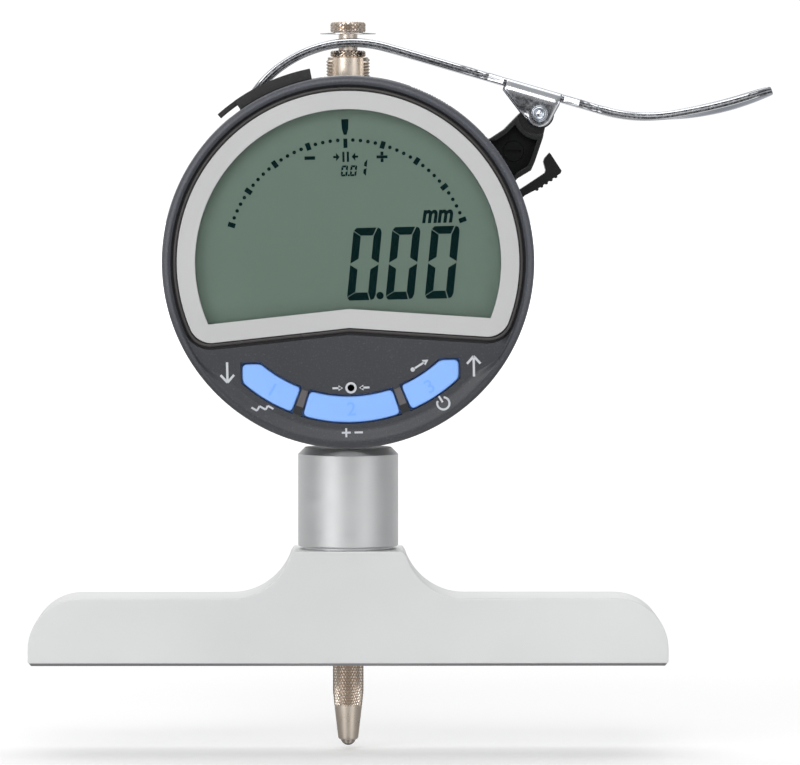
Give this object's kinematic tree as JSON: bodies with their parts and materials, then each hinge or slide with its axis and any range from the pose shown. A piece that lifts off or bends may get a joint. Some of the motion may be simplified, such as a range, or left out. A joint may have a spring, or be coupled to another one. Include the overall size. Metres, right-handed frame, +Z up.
{
  "type": "digital depth gauge",
  "caption": "Digital depth gauge with a swivelling round display head, a flat reference base, a sprung spindle and a thumb lever that lifts it.",
  "frame": {"origin": "middle of the base's reference face, on the spindle axis", "axes": "+X to the right along the base, towards the thumb pad; +Y to the back, away from the display; +Z up along the spindle"},
  "size_m": [0.1184, 0.0286, 0.1155],
  "materials": {
    "plated_steel": "satin",
    "sleeve_steel": "satin",
    "black_screw": "satin",
    "bush_brass": "satin",
    "case_plastic": "fine texture",
    "small_screws": "bright",
    "warm_nickel": "satin",
    "hub_alloy": "satin",
    "soft_ring": "matte",
    "board": "gloss",
    "flex_film": "gloss",
    "spring_wire": "bright",
    "black_plastic": "satin",
    "ground_steel": "ground",
    "carbide": "polished",
    "scale_glass": "polished",
    "stamped_steel": "bright",
    "bezel_plastic": "fine texture",
    "bright_ring": "bright",
    "clear_window": "clear",
    "pale_trim": "satin",
    "lcd": "gloss",
    "white_frame": "satin",
    "key_rubber": "matte",
    "cell_steel": "satin",
    "button_blue": "satin",
    "cap_rubber": "matte"
  },
  "bodies": {
    "body": {"base": "plated_steel", "sleeve": "sleeve_steel", "clamp_screw": "black_screw", "lower_stem": "sleeve_steel", "lower_bush": "bush_brass", "body_case": "case_plastic", "rear_cover": "case_plastic", "cover_screws": "small_screws", "upper_stem": "warm_nickel", "swivel_hub": "hub_alloy", "hub_screws": "small_screws", "friction_ring": "soft_ring", "encoder_board": "board", "flex_cable": "flex_film", "guide_rail": "hub_alloy", "spring_anchor": "small_screws", "return_spring": "spring_wire", "lever_bracket": "black_plastic", "bracket_screw": "black_screw", "latch_pin": "small_screws"},
    "spindle_set": {"spindle": "ground_steel", "contact_point": "warm_nickel", "contact_ball": "carbide", "scale_carrier": "hub_alloy", "scale_strip": "scale_glass", "guide_pin": "ground_steel", "spring_hook": "small_screws", "lift_collar": "warm_nickel", "lift_washer": "ground_steel", "lift_cap": "warm_nickel"},
    "lever": {"lifting_lever": "stamped_steel", "pivot_rivet": "ground_steel"},
    "display": {"bezel": "bezel_plastic", "grip_ring": "bright_ring", "display_back": "case_plastic", "back_screws": "small_screws", "window": "clear_window", "window_trim": "pale_trim", "lcd_glass": "lcd", "lcd_frame": "white_frame", "contact_strips": "soft_ring", "main_board": "board", "key_mat": "key_rubber", "battery": "cell_steel", "battery_clip": "spring_wire", "data_socket": "black_plastic"},
    "left_key": {"button_left": "button_blue"},
    "middle_key": {"button_middle": "button_blue"},
    "right_key": {"button_right": "button_blue"},
    "plug": {"connector_cap": "cap_rubber"},
    "latch": {"bracket_latch": "black_plastic"}
  },
  "joints": [
    {"name": "spindle_slide", "type": "slide", "parent": "body", "child": "spindle_set", "axis": [0, 0, 1], "range_m": [0, 0.0135], "stiffness_N_per_m": 40, "springref_m": -0.03, "deforming": ["return_spring"]},
    {"name": "lever_pivot", "type": "hinge", "parent": "body", "child": "lever", "pos_m": [0.03035, 0, 0.08754], "axis": [0, 1, 0], "range_deg": [0, 25.6]},
    {"name": "display_swivel", "type": "hinge", "parent": "body", "child": "display", "pos_m": [0, 0, 0.0642], "axis": [0, 1, 0], "range_deg": [-165, 165]},
    {"name": "button_left_press", "type": "slide", "parent": "display", "child": "left_key", "axis": [0, 1, 0], "range_m": [0, 0.0004], "stiffness_N_per_m": 1500, "springref_m": -0.0006},
    {"name": "button_middle_press", "type": "slide", "parent": "display", "child": "middle_key", "axis": [0, 1, 0], "range_m": [0, 0.0004], "stiffness_N_per_m": 1500, "springref_m": -0.0006},
    {"name": "button_right_press", "type": "slide", "parent": "display", "child": "right_key", "axis": [0, 1, 0], "range_m": [0, 0.0004], "stiffness_N_per_m": 1500, "springref_m": -0.0006},
    {"name": "cap_pull", "type": "slide", "parent": "display", "child": "plug", "axis": [-0.3939, 0, 0.9191], "range_m": [0, 0.0065]},
    {"name": "latch_press", "type": "hinge", "parent": "body", "child": "latch", "pos_m": [0.02545, 0, 0.07321], "axis": [0, 1, 0], "range_deg": [0, 8], "stiffness_Nm_per_rad": 0.05, "springref_deg": -11.46}
  ],
  "couplings": [
    {"joint": "lever_pivot", "follows": "spindle_slide", "rad_per_m": 32.95}
  ]
}
